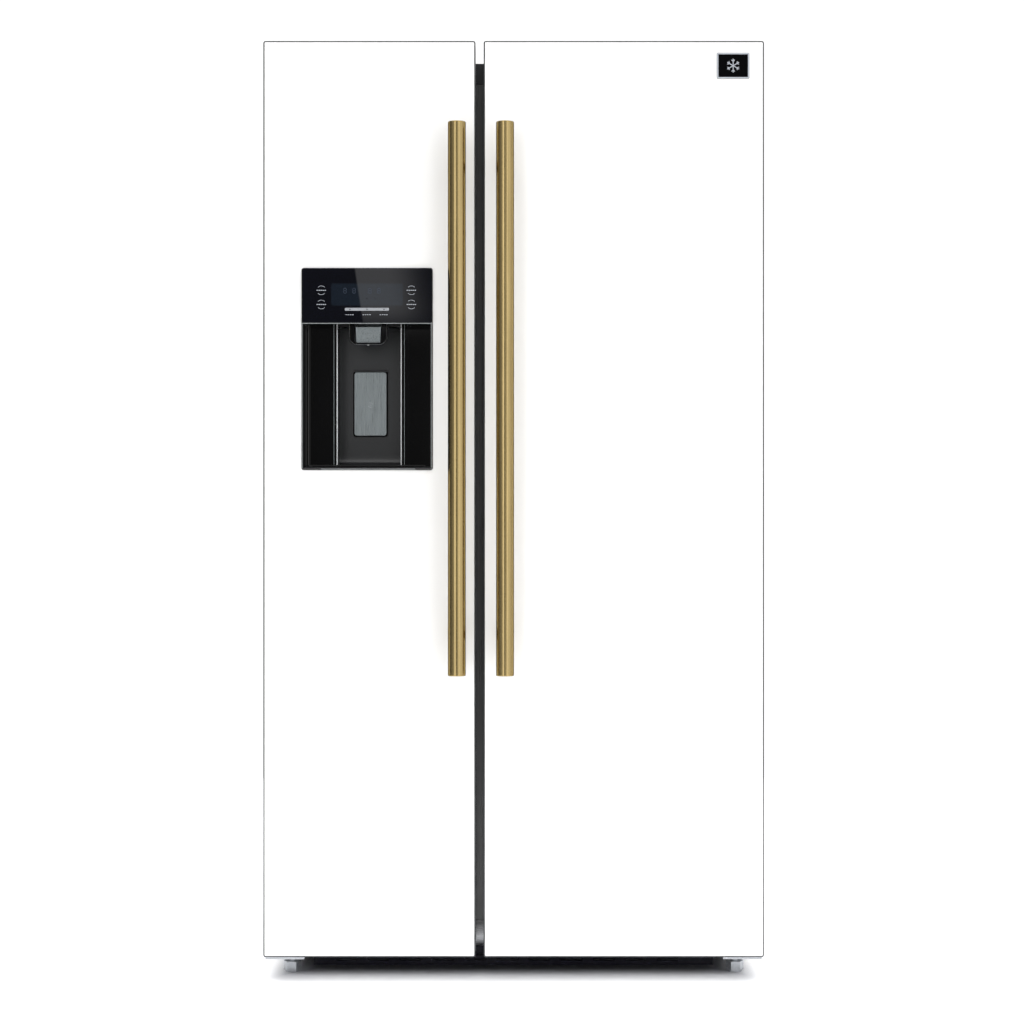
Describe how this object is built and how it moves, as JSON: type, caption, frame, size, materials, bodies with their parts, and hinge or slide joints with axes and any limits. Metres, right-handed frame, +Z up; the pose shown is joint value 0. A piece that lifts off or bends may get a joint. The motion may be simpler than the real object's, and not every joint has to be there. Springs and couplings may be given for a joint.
{
  "type": "side by side refrigerator",
  "caption": "Free-standing side by side refrigerator and freezer with an ice and water dispenser, round bar handles, shelves, drawers, door bins and a rear machine compartment.",
  "frame": {"origin": "on the floor under the middle of the whole object, handles included", "axes": "+Z up, the doors face -Y, +X to the right seen from the front"},
  "size_m": [0.911, 0.758, 1.713],
  "materials": {
    "white_glass": "gloss",
    "painted_steel": "satin",
    "door_edge": "satin",
    "dark_steel": "satin",
    "black_plastic": "satin",
    "white_plastic": "satin",
    "clear_plastic": "gloss",
    "shelf_glass": "gloss",
    "seal_rubber": "matte",
    "insulating_foam": "matte",
    "zinc_steel": "satin",
    "bare_aluminium": "satin",
    "antique_brass": "satin",
    "black_gloss": "gloss",
    "satin_metal": "satin",
    "black_enamel": "satin",
    "tyre_rubber": "matte"
  },
  "bodies": {
    "cabinet": {"cabinet_shell": "painted_steel", "cabinet_foam": "insulating_foam", "freezer_liner": "white_plastic", "fridge_liner": "white_plastic", "mullion_cover": "dark_steel", "top_trim": "black_plastic", "bottom_beam": "dark_steel", "base_frame": "zinc_steel", "kick_plate": "black_plastic", "top_hinge_left": "zinc_steel", "top_hinge_right": "zinc_steel", "hinge_cover_left": "black_plastic", "hinge_cover_right": "black_plastic", "lower_hinge_left": "zinc_steel", "lower_hinge_right": "zinc_steel", "compressor": "black_enamel", "condenser": "black_enamel", "machine_cover": "zinc_steel", "evaporator": "bare_aluminium", "evaporator_cover": "white_plastic", "ice_maker": "white_plastic", "ice_bucket": "clear_plastic", "freezer_shelf_1": "shelf_glass", "freezer_shelf_2": "shelf_glass", "freezer_shelf_3": "shelf_glass", "fridge_shelf_1": "shelf_glass", "fridge_shelf_2": "shelf_glass", "fridge_shelf_3": "shelf_glass", "fridge_shelf_4": "shelf_glass"},
    "freezer_door": {"freezer_door_panel": "white_glass", "freezer_door_frame": "door_edge", "freezer_door_liner": "white_plastic", "freezer_door_gasket": "seal_rubber", "freezer_handle": "antique_brass", "dispenser_housing": "black_gloss", "dispenser_panel": "black_gloss", "dispenser_nozzle": "satin_metal", "drip_tray": "black_plastic", "freezer_bin_upper": "clear_plastic", "freezer_bin_lower": "clear_plastic"},
    "paddle": {"dispenser_paddle": "satin_metal"},
    "fridge_door": {"fridge_door_panel": "white_glass", "fridge_door_frame": "door_edge", "fridge_door_liner": "white_plastic", "fridge_door_gasket": "seal_rubber", "fridge_handle": "antique_brass", "dairy_bin": "clear_plastic", "fridge_bin_lower": "clear_plastic"},
    "dairy_flap": {"dairy_cover": "clear_plastic"},
    "lower_freezer_drawer": {"freezer_drawer_lower": "clear_plastic"},
    "upper_freezer_drawer": {"freezer_drawer_upper": "clear_plastic"},
    "lower_crisper": {"crisper_lower": "clear_plastic"},
    "upper_crisper": {"crisper_upper": "clear_plastic"},
    "auger": {"ice_auger": "satin_metal"},
    "cold_fan": {"evaporator_fan": "white_plastic"},
    "warm_fan": {"condenser_fan": "black_plastic"},
    "left_foot": {"levelling_foot_left": "zinc_steel"},
    "right_foot": {"levelling_foot_right": "zinc_steel"},
    "left_roller": {"rear_roller_left": "tyre_rubber"},
    "right_roller": {"rear_roller_right": "tyre_rubber"}
  },
  "joints": [
    {"name": "freezer_door_hinge", "type": "hinge", "parent": "cabinet", "child": "freezer_door", "pos_m": [-0.4415, -0.288, 0.85], "axis": [0, 0, -1], "range_deg": [0, 130]},
    {"name": "fridge_door_hinge", "type": "hinge", "parent": "cabinet", "child": "fridge_door", "pos_m": [0.4415, -0.288, 0.85], "axis": [0, 0, 1], "range_deg": [0, 130]},
    {"name": "dispenser_paddle_hinge", "type": "hinge", "parent": "freezer_door", "child": "paddle", "pos_m": [-0.2665, -0.226, 1.116], "axis": [1, 0, 0], "range_deg": [0, 12], "stiffness_Nm_per_rad": 0.3},
    {"name": "dairy_cover_hinge", "type": "hinge", "parent": "fridge_door", "child": "dairy_flap", "pos_m": [0.18212, -0.162, 1.572], "axis": [1, 0, 0], "range_deg": [0, 85]},
    {"name": "freezer_drawer_lower_slide", "type": "slide", "parent": "cabinet", "child": "lower_freezer_drawer", "axis": [0, -1, 0], "range_m": [0, 0.22]},
    {"name": "freezer_drawer_upper_slide", "type": "slide", "parent": "cabinet", "child": "upper_freezer_drawer", "axis": [0, -1, 0], "range_m": [0, 0.22]},
    {"name": "crisper_lower_slide", "type": "slide", "parent": "cabinet", "child": "lower_crisper", "axis": [0, -1, 0], "range_m": [0, 0.22]},
    {"name": "crisper_upper_slide", "type": "slide", "parent": "cabinet", "child": "upper_crisper", "axis": [0, -1, 0], "range_m": [0, 0.22]},
    {"name": "ice_auger_turn", "type": "hinge", "parent": "cabinet", "child": "auger", "pos_m": [-0.2665, 0.041, 1.378], "axis": [0, 1, 0], "continuous": true},
    {"name": "evaporator_fan_turn", "type": "hinge", "parent": "cabinet", "child": "cold_fan", "pos_m": [-0.241, 0.276, 1.175], "axis": [0, 1, 0], "continuous": true},
    {"name": "condenser_fan_turn", "type": "hinge", "parent": "cabinet", "child": "warm_fan", "pos_m": [-0.21, 0.274, 0.137], "axis": [1, 0, 0], "continuous": true},
    {"name": "levelling_foot_left_turn", "type": "hinge", "parent": "cabinet", "child": "left_foot", "pos_m": [-0.4125, -0.219, 0], "axis": [0, 0, 1], "continuous": true},
    {"name": "levelling_foot_right_turn", "type": "hinge", "parent": "cabinet", "child": "right_foot", "pos_m": [0.4125, -0.219, 0], "axis": [0, 0, 1], "continuous": true},
    {"name": "rear_roller_left_turn", "type": "hinge", "parent": "cabinet", "child": "left_roller", "pos_m": [-0.4135, 0.319, 0.021], "axis": [1, 0, 0], "continuous": true},
    {"name": "rear_roller_right_turn", "type": "hinge", "parent": "cabinet", "child": "right_roller", "pos_m": [0.4135, 0.319, 0.021], "axis": [1, 0, 0], "continuous": true}
  ],
  "couplings": [
    {"joint": "freezer_drawer_lower_slide", "follows": "freezer_door_hinge", "m_per_rad": 0.0969},
    {"joint": "freezer_drawer_upper_slide", "follows": "freezer_door_hinge", "m_per_rad": 0.0969},
    {"joint": "crisper_lower_slide", "follows": "fridge_door_hinge", "m_per_rad": 0.0969},
    {"joint": "crisper_upper_slide", "follows": "fridge_door_hinge", "m_per_rad": 0.0969}
  ]
}
